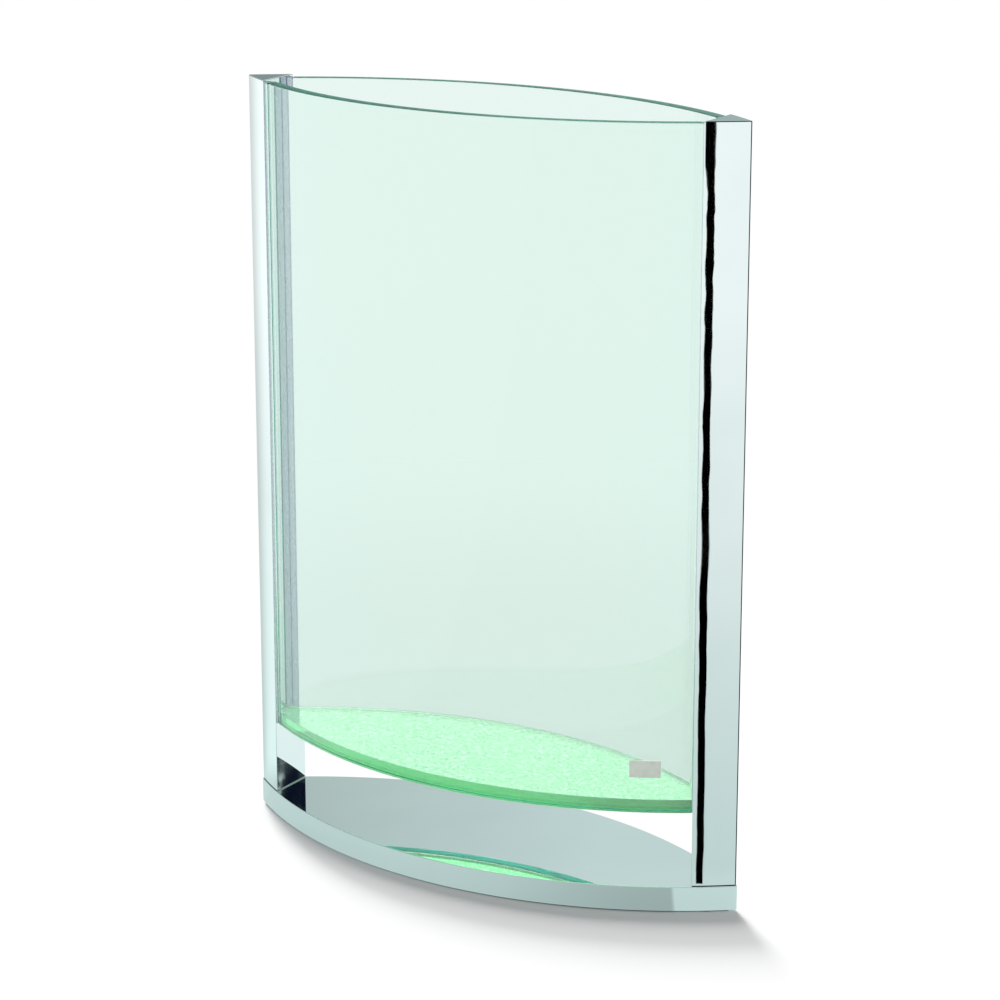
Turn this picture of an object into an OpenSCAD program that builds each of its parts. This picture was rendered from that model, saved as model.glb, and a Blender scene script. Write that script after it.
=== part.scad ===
// Free-standing glass vase with a lens-shaped plan. Two bent panes and a glass
// floor hang between two polished posts, clear of the polished base plate that
// the posts stand on. Millimetres, +Z up, front at -Y, origin in the middle of
// the underside.

/* [Overall] */
// Length of the base from tip to tip
base_l = 270; // [225:5:330]
// Width of the base across its middle
base_w = 95; // [79:1:115]
// Height from the table to the top of the posts
total_h = 370; // [250:5:480]

/* [Base] */
// Thickness of the base plate
base_t = 12; // [8:0.5:20]
// Thickness of the felt under the base plate
felt_t = 0.8; // [0.5:0.1:2]
// How far the felt stays inside the edge of the base plate
felt_inset = 1.5; // [1.3:0.1:5]
// Radius of the rounded tips of the base plate
tip_r = 1.2; // [1:0.1:2.5]
// Chamfer on the upper and lower edges of the base plate and the posts
edge_chamfer = 0.4; // [0.2:0.1:0.4]

/* [Posts] */
// Depth of a post from the tip of the base to the flat inner face
post_depth = 17.5; // [16:0.5:26]
// How far the posts stand inside the edge of the base plate
post_step = 0.5; // [0.3:0.1:0.5]

/* [Glass] */
// Thickness of the two bent panes
pane_t = 6; // [4:0.5:8]
// Thickness of the glass floor
floor_t = 5; // [4:0.5:10]
// Open gap between the base plate and the glass
glass_lift = 36; // [20:1:80]
// How far the panes end below the top of the posts
glass_drop = 1; // [0:0.5:10]
// How far the panes lie inside the curved faces of the posts
pane_inset = 1; // [0.5:0.1:3]
// Small chamfer along the upper and lower edges of the panes
arris = 0.5; // [0.2:0.1:1]
// Width of the clear silicone joints
joint = 0.5; // [0.3:0.1:1]

/* [Name plate] */
// Width of the name plate along the pane
plate_w = 14.5; // [8:0.5:20]
// Height of the name plate
plate_h = 8.3; // [5:0.1:12]
// Thickness of the name plate
plate_t = 0.5; // [0.3:0.1:0.5]
// Thickness of the tape behind the name plate
tape_t = 0.2; // [0.1:0.1:0.3]
// How far the tape stays inside the edge of the name plate
tape_inset = 0.6; // [0.3:0.1:2]
// Distance along X from the right post to the middle of the name plate
plate_from_post = 19.5; // [15:0.5:100]
// Height of the name plate above the lower edge of the pane
plate_up = 17.5; // [5:0.5:60]

/* [Screws] */
// Diameter of the post screws
screw_d = 4; // [3:0.5:4]
// Diameter of the countersunk heads
screw_head_d = 8; // [6:0.5:8]
// Length of a post screw, head included
screw_l = 25; // [20:1:35]
// Distance between the two screws of a post
screw_spacing = 9; // [8.5:0.5:11]
// Distance from the inner face of a post to its screws
screw_setback = 4.2; // [3.5:0.1:5]
// Width across the flats of the hexagon socket
socket_af = 2.5; // [2:0.5:2.5]
// Depth of the hexagon socket
socket_depth = 1.8; // [1:0.1:2]
// How deep the heads lie above the underside of the base plate
head_recess = 0.3; // [0.2:0.1:1]
// Clearance around a screw in its thread and countersink
screw_fit = 0.05; // [0.02:0.01:0.1]
// Clearance around a screw shank in the base plate
shank_clear = 0.25; // [0.1:0.05:0.4]
// Free depth of the threaded hole past the end of the screw
hole_spare = 2; // [1:0.5:5]

/* [Hidden] */

metal = [0.80, 0.84, 0.85];
glass = [0.72, 0.92, 0.85, 0.45];
silicone = [0.90, 0.95, 0.94, 0.6];
felt = [0.55, 0.52, 0.47];
steel = [0.55, 0.56, 0.58];

arc_fn = 240;
small_fn = 64;

// The plan is two equal arcs, each with its centre arc_c beyond the XZ plane.
// A circle of tip_r round tip_x rounds each tip. The arcs pass its centre a
// little inside its radius, so that they cross the circle and don't just touch.
half_w = base_w / 2;
tip_x = base_l / 2 - tip_r;
tip_cross = 0.02;
arc_off_tip = tip_r - tip_cross;
arc_r = (tip_x * tip_x + half_w * half_w - arc_off_tip * arc_off_tip) / (2 * (half_w - arc_off_tip));
arc_c = arc_r - half_w;

// Levels
plate_z = felt_t;
post_z = plate_z + base_t;
post_h = total_h - post_z;
glass_z = post_z + glass_lift;
glass_h = total_h - glass_drop - glass_z;

// Posts
post_x = base_l / 2 - post_depth;
post_r = arc_r - post_step;
post_half = half_chord(post_r, post_x);
post_turn = asin(post_x / post_r);

// Panes, cut square at their ends
pane_r = post_r - pane_inset;
pane_in_r = pane_r - pane_t;
pane_x = post_x - joint;
pane_turn = asin(pane_x / pane_r);
pane_in_x = pane_in_r * sin(pane_turn);
pane_out_y = half_chord(pane_r, pane_x);
pane_in_y = half_chord(pane_in_r, pane_in_x);

// Name plate
plate_x = post_x - plate_from_post;
plate_turn = asin(plate_x / pane_r);
plate_z0 = glass_z + plate_up;

// Screws
head_h = (screw_head_d - screw_d) / 2;
head_z = plate_z + head_recess;
screw_x = post_x + screw_setback;
hole_r = screw_d / 2 + shank_clear;
thread_r = screw_d / 2 + screw_fit;
thread_depth = head_z + screw_l + hole_spare - post_z;

// Overcut that keeps cutting tools clear of the faces they cut through
over = 1;

// Half the width at x of a plan whose arcs have the radius r
function half_chord(r, x) = sqrt(r * r - x * x) - arc_c;

// A round slab with chamfered upper and lower edges
module disc(r, h, chamfer) {
    rotate_extrude($fn = arc_fn)
        polygon([
            [0, 0], [r - chamfer, 0], [r, chamfer],
            [r, h - chamfer], [r - chamfer, h], [0, h]
        ]);
}

// Two slabs crossed into a lens with sharp tips
module crossed(r, h, chamfer) {
    intersection() {
        translate([0, arc_c, 0]) disc(r, h, chamfer);
        translate([0, -arc_c, 0]) disc(r, h, chamfer);
    }
}

// What is cut away beyond a tip that is rounded to the radius tip
module tip_waste(tip, h, chamfer) {
    edge_x = tip_x * (1 + tip / (arc_r - arc_off_tip));
    difference() {
        translate([edge_x, -base_w / 2, -over])
            cube([base_l / 4, base_w, h + 2 * over]);
        translate([tip_x, 0, 0]) disc(tip, h, chamfer);
    }
}

// A lens slab that stands inset inside the outline of the base
module lens_slab(inset, h, chamfer) {
    difference() {
        crossed(arc_r - inset, h, chamfer);
        tip_waste(tip_r - inset, h, chamfer);
        mirror([1, 0, 0]) tip_waste(tip_r - inset, h, chamfer);
    }
}

// The part of the outline beyond a post's flat inner face, with its vertical
// edges and its ends chamfered
module post_block() {
    corner_y = post_half - edge_chamfer;
    far_x = post_depth + over;
    flare = far_x * (1 - sin(post_turn)) / cos(post_turn);
    intersection() {
        linear_extrude(post_h)
            translate([post_x, 0])
                polygon([
                    [0, -corner_y], [0, corner_y],
                    [far_x, corner_y + flare], [far_x, -corner_y - flare]
                ]);
        translate([post_x, base_w / 2, 0])
            rotate([90, 0, 0])
                linear_extrude(base_w)
                    polygon([
                        [edge_chamfer, 0], [0, edge_chamfer],
                        [0, post_h - edge_chamfer], [edge_chamfer, post_h],
                        [far_x, post_h], [far_x, 0]
                    ]);
    }
}

// Places its children at the two screws of the right post
module at_screws() {
    for (side = [-1, 1])
        translate([screw_x, side * screw_spacing / 2, 0]) children();
}

module post() {
    difference() {
        translate([0, 0, post_z])
            intersection() {
                lens_slab(post_step, post_h, edge_chamfer);
                post_block();
            }
        at_screws()
            translate([0, 0, post_z - over])
                cylinder(r = thread_r, h = thread_depth + over, $fn = small_fn);
    }
}

module screws() {
    at_screws()
        translate([0, 0, head_z])
            difference() {
                union() {
                    cylinder(r1 = screw_head_d / 2, r2 = screw_d / 2, h = head_h, $fn = small_fn);
                    cylinder(d = screw_d, h = screw_l, $fn = small_fn);
                }
                translate([0, 0, -over])
                    cylinder(d = socket_af / cos(30), h = socket_depth + over, $fn = 6);
            }
}

// The hole that a screw passes through, with its countersink
module screw_hole() {
    sink_r = screw_head_d / 2 + screw_fit;
    translate([0, 0, plate_z - over])
        cylinder(r = hole_r, h = base_t + 2 * over, $fn = small_fn);
    translate([0, 0, plate_z - over])
        cylinder(r = sink_r, h = head_recess + over, $fn = small_fn);
    translate([0, 0, head_z])
        cylinder(r1 = sink_r, r2 = 0, h = sink_r, $fn = small_fn);
}

// A wedge of the plan seen from the front pane's arc centre, between two turns
module sector(from, to, z, h) {
    reach = 2 * arc_r;
    translate([0, arc_c, z])
        linear_extrude(h)
            polygon([
                [0, 0],
                [reach * sin(from), -reach * cos(from)],
                [reach * sin(to), -reach * cos(to)]
            ]);
}

// A ring round the front pane's arc centre
module ring(inner, outer, z, h, chamfer) {
    translate([0, arc_c, z])
        rotate_extrude($fn = arc_fn)
            polygon([
                [inner + chamfer, 0], [outer - chamfer, 0],
                [outer, chamfer], [outer, h - chamfer],
                [outer - chamfer, h], [inner + chamfer, h],
                [inner, h - chamfer], [inner, chamfer]
            ]);
}

module pane() {
    intersection() {
        ring(pane_in_r, pane_r, glass_z, glass_h, arris);
        sector(-pane_turn, pane_turn, glass_z - over, glass_h + 2 * over);
    }
}

// The clear bead between the right end of the front pane and the post
module corner_seal() {
    translate([0, 0, glass_z])
        linear_extrude(glass_h)
            polygon([
                [pane_x, -pane_out_y], [post_x, -pane_out_y],
                [post_x, -pane_in_y], [pane_in_x, -pane_in_y]
            ]);
}

// A slab of the lens between the panes, cut straight at both ends
module between_panes(r, end_x, h) {
    intersection() {
        crossed(r, h, 0);
        translate([-end_x, -base_w / 2, 0]) cube([2 * end_x, base_w, h]);
    }
}

module floor_slab(h) {
    between_panes(pane_in_r - joint, post_x - joint, h);
}

module base_plate() {
    color(metal)
        difference() {
            translate([0, 0, plate_z]) lens_slab(0, base_t, edge_chamfer);
            at_screws() screw_hole();
            mirror([1, 0, 0]) at_screws() screw_hole();
        }
}

module base_felt() {
    color(felt) crossed(arc_r - felt_inset, felt_t, 0);
}

module right_post() {
    color(metal) post();
}

module left_post() {
    color(metal) mirror([1, 0, 0]) post();
}

module right_post_screws() {
    color(steel) screws();
}

module left_post_screws() {
    color(steel) mirror([1, 0, 0]) screws();
}

module front_pane() {
    color(glass) pane();
}

module back_pane() {
    color(glass) mirror([0, 1, 0]) pane();
}

module glass_floor() {
    color(glass) translate([0, 0, glass_z]) floor_slab(floor_t);
}

module front_right_seal() {
    color(silicone) corner_seal();
}

module front_left_seal() {
    color(silicone) mirror([1, 0, 0]) corner_seal();
}

module back_right_seal() {
    color(silicone) mirror([0, 1, 0]) corner_seal();
}

module back_left_seal() {
    color(silicone) mirror([1, 0, 0]) mirror([0, 1, 0]) corner_seal();
}

// The joint all round the edge of the glass floor
module floor_seal() {
    color(silicone)
        translate([0, 0, glass_z])
            difference() {
                union() {
                    between_panes(pane_in_r, pane_in_x, floor_t);
                    translate([-post_x, -pane_in_y, 0])
                        cube([2 * post_x, 2 * pane_in_y, floor_t]);
                }
                translate([0, 0, -over]) floor_slab(floor_t + 2 * over);
            }
}

// A curved patch on the front pane, inset inside the outline of the plate
module plate_patch(inset, from_r, thick) {
    half_turn = (plate_w / 2 - inset) / pane_r * 180 / PI;
    z = plate_z0 + inset;
    h = plate_h - 2 * inset;
    intersection() {
        ring(from_r, from_r + thick, z, h, 0);
        sector(plate_turn - half_turn, plate_turn + half_turn, z - over, h + 2 * over);
    }
}

module name_plate() {
    color(metal) plate_patch(0, pane_r + tape_t, plate_t);
}

module name_plate_tape() {
    color(felt) plate_patch(tape_inset, pane_r, tape_t);
}

base_plate();
base_felt();
left_post();
right_post();
left_post_screws();
right_post_screws();
front_pane();
back_pane();
glass_floor();
front_left_seal();
front_right_seal();
back_left_seal();
back_right_seal();
floor_seal();
name_plate();
name_plate_tape();
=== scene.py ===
import bmesh
import bpy
import math
from mathutils import Matrix, Vector


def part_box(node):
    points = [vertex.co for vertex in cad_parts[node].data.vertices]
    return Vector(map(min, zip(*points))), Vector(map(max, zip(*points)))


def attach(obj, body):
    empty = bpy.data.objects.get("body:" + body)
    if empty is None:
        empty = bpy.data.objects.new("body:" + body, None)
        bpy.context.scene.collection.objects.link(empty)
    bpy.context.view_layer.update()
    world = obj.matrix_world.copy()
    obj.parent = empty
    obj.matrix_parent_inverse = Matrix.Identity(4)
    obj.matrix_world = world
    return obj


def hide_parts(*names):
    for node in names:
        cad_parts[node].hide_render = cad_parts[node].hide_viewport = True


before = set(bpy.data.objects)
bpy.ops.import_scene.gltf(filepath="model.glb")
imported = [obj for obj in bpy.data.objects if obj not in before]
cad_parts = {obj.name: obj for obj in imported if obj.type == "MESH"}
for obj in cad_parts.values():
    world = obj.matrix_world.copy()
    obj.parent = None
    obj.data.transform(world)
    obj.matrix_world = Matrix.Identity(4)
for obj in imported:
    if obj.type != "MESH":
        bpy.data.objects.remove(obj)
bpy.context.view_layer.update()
scene = bpy.context.scene
mm = 0.001  # every length below is in metres
quarterTurn = math.pi / 2


# Small helpers for node trees

def feed(tree, node, values):
    for name, value in values.items():
        socket = node.inputs[name]
        if isinstance(value, bpy.types.NodeSocket):
            tree.links.new(value, socket)
        else:
            socket.default_value = value
    return node


def addNode(tree, kind, values=None, **settings):
    node = tree.nodes.new(kind)
    for name, value in settings.items():
        setattr(node, name, value)
    return feed(tree, node, values or {})


def maths(tree, operation, first, second=0.0, third=0.0):
    return addNode(tree, "ShaderNodeMath", {0: first, 1: second, 2: third}, operation=operation).outputs[0]


def product(tree, *values):
    result = values[0]
    for value in values[1:]:
        result = maths(tree, "MULTIPLY", result, value)
    return result


def vector(tree, x=0.0, y=0.0, z=0.0):
    return addNode(tree, "ShaderNodeCombineXYZ", {"X": x, "Y": y, "Z": z}).outputs["Vector"]


def axes(tree, place):
    return addNode(tree, "ShaderNodeSeparateXYZ", {"Vector": place}).outputs


def asColour(value):
    return value if isinstance(value, bpy.types.NodeSocket) else (*value, 1.0)


def ramp(tree, value, stops):
    node = addNode(tree, "ShaderNodeValToRGB", {"Fac": value})
    elements = node.color_ramp.elements
    while len(elements) < len(stops):
        elements.new(0.5)
    for element, (place, colour) in zip(elements, stops):
        element.position = place
        element.color = asColour(colour)
    return node.outputs["Color"]


def spread(tree, value, fromLow, fromHigh, toLow, toHigh, smooth=False):
    names = {"Value": value, "From Min": fromLow, "From Max": fromHigh, "To Min": toLow, "To Max": toHigh}
    kind = "SMOOTHSTEP" if smooth else "LINEAR"
    return addNode(tree, "ShaderNodeMapRange", names, interpolation_type=kind).outputs["Result"]


def between(tree, value, low, high, soft=0.02):
    rising = spread(tree, value, low - soft, low + soft, 0.0, 1.0, True)
    falling = spread(tree, value, high - soft, high + soft, 1.0, 0.0, True)
    return product(tree, rising, falling)


def within(tree, value, low, high):
    return product(tree, maths(tree, "GREATER_THAN", value, low), maths(tree, "LESS_THAN", value, high))


def scaled(tree, colour, strength):
    names = {0: colour, "Scale": strength}
    return addNode(tree, "ShaderNodeVectorMath", names, operation="SCALE").outputs[0]


def blended(tree, share, first, second, kind="MIX"):
    # the colour inputs and output of this node are known by their numbers
    names = {0: share, 6: asColour(first), 7: asColour(second)}
    return addNode(tree, "ShaderNodeMix", names, data_type="RGBA", blend_type=kind).outputs[2]


# Small helpers for pieces

meshing = {
    "weld": 0.001 * mm,
    "endWeld": 0.002 * mm,            # joins the ends of the arcs in an outline
    "sharp": math.radians(25),        # edges that turn more than this are eased
    "flatWeight": 90,
    "holeSteps": 48,
    "past": 1 * mm,                   # how far a drill goes past the face that it starts from
}


def newObject(name, data):
    piece = bpy.data.objects.new(name, data)
    scene.collection.objects.link(piece)
    return piece


def fromShape(name, shape, material=None):
    mesh = bpy.data.meshes.new(name)
    shape.to_mesh(mesh)
    shape.free()
    if material:
        mesh.materials.append(material)
    return newObject(name, mesh)


def settle(piece):
    # turns what the modifiers make into the piece's own plain mesh
    evaluated = piece.evaluated_get(bpy.context.evaluated_depsgraph_get())
    mesh = bpy.data.meshes.new_from_object(evaluated)
    mesh.name = piece.name
    old = piece.data
    piece.modifiers.clear()
    piece.data = mesh
    bpy.data.meshes.remove(old)


def faceOutwards(piece):
    shape = bmesh.new()
    shape.from_mesh(piece.data)
    bmesh.ops.remove_doubles(shape, verts=shape.verts, dist=meshing["weld"])
    bmesh.ops.recalc_face_normals(shape, faces=shape.faces)
    for face in shape.faces:
        face.smooth = True
    shape.to_mesh(piece.data)
    shape.free()


def easeEdges(piece, width, segments=3):
    bevel = piece.modifiers.new("ease", "BEVEL")
    bevel.width = width
    bevel.segments = segments
    bevel.limit_method = "ANGLE"
    bevel.angle_limit = meshing["sharp"]
    bevel.use_clamp_overlap = False
    settle(piece)


def keepFlatsFlat(piece):
    weighted = piece.modifiers.new("flats", "WEIGHTED_NORMAL")
    weighted.weight = meshing["flatWeight"]
    settle(piece)


def standFor(piece, node):
    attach(piece, "root")
    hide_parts(node)
    print("made", piece.name, "for", node, "with", len(piece.data.polygons), "faces")


def finishClear(piece, node):
    keepFlatsFlat(piece)
    piece.visible_diffuse = False     # the table is lit as if the glass weren't there: no hard grey shadow
    standFor(piece, node)


# Sizes that the pieces share, read from the frame

def lows(node):
    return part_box(node)[0]


def highs(node):
    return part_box(node)[1]


def levels(node):
    return {"Bottom": lows(node)[2], "Height": highs(node)[2] - lows(node)[2]}


lens = {
    "tipInset": 1.2 * mm,   # from the end of the base to the middle of its rounded tip
    "tipRadius": 1.18 * mm,
    "steps": 160,           # segments along each long arc
    "tipSteps": 14,
    "flatSteps": 3,         # and along an end that is nearly straight
}
halfLength = highs("base_plate")[0]
halfWidth = highs("base_plate")[1]
tipX = halfLength - lens["tipInset"]
arcRadius = (tipX ** 2 + halfWidth ** 2 - lens["tipRadius"] ** 2) / (2 * (halfWidth - lens["tipRadius"]))
arcCentre = arcRadius - halfWidth
innerFaceX = lows("right_post")[0]
postRadius = arcRadius - (halfLength - highs("right_post")[0])
paneRadius = highs("back_pane")[1] + arcCentre
paneEndX = highs("front_pane")[0]
paneThickness = 6 * mm
paneInnerRadius = paneRadius - paneThickness


def halfChord(radius, x):
    return math.sqrt(radius ** 2 - x ** 2) - arcCentre


# Node trees for the shapes that follow the two arcs

def newTree(name, inputs):
    tree = bpy.data.node_groups.new(name, "GeometryNodeTree")
    for label, kind in inputs.items():
        tree.interface.new_socket(label, in_out="INPUT", socket_type="NodeSocket" + kind)
    tree.interface.new_socket("Geometry", in_out="OUTPUT", socket_type="NodeSocketGeometry")
    given = tree.nodes.new("NodeGroupInput").outputs
    return tree, given


def finishTree(tree, geometry, material):
    smooth = addNode(tree, "GeometryNodeSetShadeSmooth", {"Geometry": geometry})
    real = addNode(tree, "GeometryNodeRealizeInstances", {"Geometry": smooth.outputs[0]})
    painted = addNode(tree, "GeometryNodeSetMaterial", {"Geometry": real.outputs[0], "Material": material})
    output = tree.nodes.new("NodeGroupOutput")
    tree.links.new(painted.outputs[0], output.inputs["Geometry"])


def grow(name, tree, values):
    piece = newObject(name, bpy.data.meshes.new(name))
    build = piece.modifiers.new("build", "NODES")
    build.node_group = tree
    for item in tree.interface.items_tree:
        if item.in_out == "INPUT":
            build[item.identifier] = values[item.name]
    settle(piece)
    faceOutwards(piece)
    return piece


def joined(tree, *parts):
    node = tree.nodes.new("GeometryNodeJoinGeometry")
    for part in parts:
        tree.links.new(part, node.inputs[0])
    return node.outputs[0]


def moved(tree, geometry, place=None, turn=(0, 0, 0), size=(1, 1, 1)):
    names = {"Geometry": geometry, "Rotation": turn, "Scale": size}
    if place is not None:
        names["Translation"] = place
    return addNode(tree, "GeometryNodeTransform", names).outputs[0]


def arc(tree, radius, start, sweep, steps, place):
    names = {"Resolution": steps, "Radius": radius, "Start Angle": start, "Sweep Angle": sweep}
    return moved(tree, addNode(tree, "GeometryNodeCurveArc", names, mode="RADIUS").outputs[0], place)


def wall(tree, outline, bottom, height):
    # one closed outline becomes a solid between two levels
    wire = addNode(tree, "GeometryNodeCurveToMesh", {"Curve": outline}).outputs[0]
    welded = addNode(tree, "GeometryNodeMergeByDistance", {
        "Geometry": wire, "Distance": meshing["endWeld"]}).outputs[0]
    loop = addNode(tree, "GeometryNodeMeshToCurve", {"Mesh": welded}).outputs[0]
    closed = addNode(tree, "GeometryNodeSetSplineCyclic", {"Geometry": loop, "Cyclic": True}).outputs[0]
    face = addNode(tree, "GeometryNodeFillCurve", {"Curve": closed}, mode="NGONS").outputs[0]
    low = moved(tree, face, vector(tree, z=bottom))
    high = addNode(tree, "GeometryNodeExtrudeMesh", {
        "Mesh": low, "Offset Scale": height, "Individual": False})
    return joined(tree, high.outputs[0], addNode(tree, "GeometryNodeFlipFaces", {"Mesh": low}).outputs[0])


def lensTree():
    # a lens of two arcs, each end closed by a small arc of its own
    tree, given = newTree("lens slab", {
        "Arc Radius": "Float", "Arc Centre": "Float", "Arc Turn": "Float",
        "End Centre": "Float", "End Radius": "Float", "End Turn": "Float",
        "Arc Steps": "Int", "End Steps": "Int",
        "Bottom": "Float", "Height": "Float", "Material": "Material",
    })
    arcStart = maths(tree, "SUBTRACT", -quarterTurn, given["Arc Turn"])
    arcSweep = product(tree, 2.0, given["Arc Turn"])
    front = arc(tree, given["Arc Radius"], arcStart, arcSweep, given["Arc Steps"],
                vector(tree, y=given["Arc Centre"]))
    endStart = product(tree, -1.0, given["End Turn"])
    endSweep = product(tree, 2.0, given["End Turn"])
    end = arc(tree, given["End Radius"], endStart, endSweep, given["End Steps"],
              vector(tree, x=given["End Centre"]))
    half = joined(tree, front, end)
    outline = joined(tree, half, moved(tree, half, turn=(0, 0, math.pi)))
    finishTree(tree, wall(tree, outline, given["Bottom"], given["Height"]), given["Material"])
    return tree


def postTree():
    # the end of the lens beyond a flat inner face
    tree, given = newTree("wedge post", {
        "Arc Radius": "Float", "Arc Centre": "Float", "From Turn": "Float", "To Turn": "Float",
        "Tip Centre": "Float", "Tip Radius": "Float", "Arc Steps": "Int", "Tip Steps": "Int",
        "Bottom": "Float", "Height": "Float", "Material": "Material",
    })
    start = maths(tree, "SUBTRACT", given["From Turn"], quarterTurn)
    sweep = maths(tree, "SUBTRACT", given["To Turn"], given["From Turn"])
    front = arc(tree, given["Arc Radius"], start, sweep, given["Arc Steps"],
                vector(tree, y=given["Arc Centre"]))
    tipStart = maths(tree, "SUBTRACT", given["To Turn"], quarterTurn)
    tipSweep = product(tree, -2.0, tipStart)
    tip = arc(tree, given["Tip Radius"], tipStart, tipSweep, given["Tip Steps"],
              vector(tree, x=given["Tip Centre"]))
    outline = joined(tree, front, tip, moved(tree, front, size=(1, -1, 1)))
    finishTree(tree, wall(tree, outline, given["Bottom"], given["Height"]), given["Material"])
    return tree


def bentSheetTree():
    # a flat sheet wrapped round the middle of an arc
    tree, given = newTree("bent sheet", {
        "Outer Radius": "Float", "Thickness": "Float", "Arc Centre": "Float", "Side": "Float",
        "Middle Turn": "Float", "Half Turn": "Float", "Steps": "Int",
        "Bottom": "Float", "Height": "Float", "Material": "Material",
    })
    sheet = addNode(tree, "GeometryNodeMeshCube", {
        "Vertices X": given["Steps"], "Size": (1, 1, 1)}).outputs[0]
    place = axes(tree, tree.nodes.new("GeometryNodeInputPosition").outputs[0])
    share = product(tree, place["X"], 2.0)
    turn = maths(tree, "MULTIPLY_ADD", share, given["Half Turn"], given["Middle Turn"])
    depth = maths(tree, "SUBTRACT", place["Y"], 0.5)
    radius = maths(tree, "MULTIPLY_ADD", depth, given["Thickness"], given["Outer Radius"])
    x = product(tree, radius, maths(tree, "SINE", turn))
    fromMiddle = product(tree, radius, maths(tree, "COSINE", turn))
    y = product(tree, given["Side"], maths(tree, "SUBTRACT", given["Arc Centre"], fromMiddle))
    rise = maths(tree, "ADD", place["Z"], 0.5)
    z = maths(tree, "MULTIPLY_ADD", rise, given["Height"], given["Bottom"])
    bent = addNode(tree, "GeometryNodeSetPosition", {
        "Geometry": sheet, "Position": vector(tree, x, y, z)})
    finishTree(tree, bent.outputs[0], given["Material"])
    return tree


print("node trees for the arcs")
lensSlab = lensTree()
wedgePost = postTree()
bentSheet = bentSheetTree()


# Materials

def newMaterial(name):
    material = bpy.data.materials.new(name)
    material.use_nodes = True
    tree = material.node_tree
    tree.nodes.clear()
    shader = tree.nodes.new("ShaderNodeBsdfPrincipled")
    output = tree.nodes.new("ShaderNodeOutputMaterial")
    tree.links.new(shader.outputs["BSDF"], output.inputs["Surface"])
    place = tree.nodes.new("ShaderNodeTexCoord").outputs["Object"]
    return material, tree, shader, output, place


def upwards(tree):
    # how far a face points up: 1 for a top, 0 for a wall, -1 for an underside
    trueNormal = tree.nodes.new("ShaderNodeNewGeometry").outputs["True Normal"]
    return axes(tree, trueNormal)["Z"]


def noise(tree, place, scale, detail=2.0, stretch=(1, 1, 1), distortion=0.0):
    if stretch != (1, 1, 1):
        place = addNode(tree, "ShaderNodeMapping", {"Vector": place, "Scale": stretch}).outputs[0]
    names = {"Vector": place, "Scale": scale, "Detail": detail, "Distortion": distortion}
    return addNode(tree, "ShaderNodeTexNoise", names).outputs["Fac"]


def bump(tree, height, distance, normal=None):
    names = {"Height": height, "Distance": distance, "Strength": 1.0}
    if normal is not None:
        names["Normal"] = normal
    return addNode(tree, "ShaderNodeBump", names).outputs["Normal"]


polish = {
    "tint": (0.86, 0.895, 0.89),
    "dullTint": (0.82, 0.86, 0.855),
    "roughness": (0.01, 0.045),
    "smearScale": 14,
    "waveScale": 34,                   # waves about 30 mm long, left by the polishing wheel
    "waveHeight": 0.006 * mm,
    "hairlineScale": 900,
    "hairlineHeight": 0.00015 * mm,
}
paintedShadeLine = {
    "dark": (0.02, 0.025, 0.04),       # painted shade at the foot of the posts, painted dark reflections on the tips and along the right post's top edge
    "foot": (0.45 * mm, 0.6 * mm),     # the painted shade at the foot fades out between these heights
    "outside": (0.1 * mm, 0.5 * mm),   # from the inner face, where it turns from pale to dark
    "tip": (0.44 * mm, 0.48 * mm),     # from the middle of the rounded tip
    "topSlope": (0.1, 0.98),           # the eased edge of the top, where the painted dark reflection lies
    "paleRoughness": 0.5,              # of the pale line at the foot of the inner faces
}


def paintedShadeShares(tree, place):
    # the share of the painted dark lines (painted shade and painted reflections), and that of the pale
    # joint line on the inner faces
    parts = axes(tree, place)
    fromMiddle = maths(tree, "ABSOLUTE", parts["X"])
    foot = lows("right_post")[2]
    footLow, footHigh = paintedShadeLine["foot"]
    pastPale, pastInner = paintedShadeLine["outside"]
    tipLow, tipHigh = paintedShadeLine["tip"]
    atFoot = spread(tree, parts["Z"], foot + footLow, foot + footHigh, 1.0, 0.0)
    outside = spread(tree, fromMiddle, innerFaceX + pastPale, innerFaceX + pastInner, 0.0, 1.0)
    atTip = spread(tree, fromMiddle, tipX + tipLow, tipX + tipHigh, 0.0, 1.0)
    atTop = product(tree, within(tree, upwards(tree), *paintedShadeLine["topSlope"]),
                    maths(tree, "LESS_THAN", parts["Y"], 0.0),
                    maths(tree, "GREATER_THAN", parts["X"], innerFaceX + pastInner))
    dark = product(tree, atFoot, outside)
    pale = maths(tree, "SUBTRACT", atFoot, dark)
    return maths(tree, "MAXIMUM", dark, maths(tree, "MAXIMUM", atTip, atTop)), pale


def polishedMetal(name, along, lines=None):
    # the hairlines run along the axis whose share in along is smallest
    material, tree, shader, output, place = newMaterial(name)
    smears = noise(tree, place, polish["smearScale"], 5, distortion=0.6)
    hairlines = noise(tree, place, polish["hairlineScale"], 3, along)
    tint = ramp(tree, smears, [(0.3, polish["dullTint"]), (0.62, polish["tint"])])
    rough = spread(tree, smears, 0.35, 0.75, *polish["roughness"])
    if lines:
        dark, pale = lines(tree, place)
        # painted shade and painted dark reflections go into the colour here
        tint = blended(tree, dark, tint, paintedShadeLine["dark"])
        rough = maths(tree, "MULTIPLY_ADD", pale, paintedShadeLine["paleRoughness"], rough)
    waves = noise(tree, place, polish["waveScale"], 1)
    normal = bump(tree, waves, polish["waveHeight"])
    normal = bump(tree, hairlines, polish["hairlineHeight"], normal)
    feed(tree, shader, {"Base Color": tint, "Metallic": 1.0, "Roughness": rough, "Normal": normal})
    return material


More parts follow.
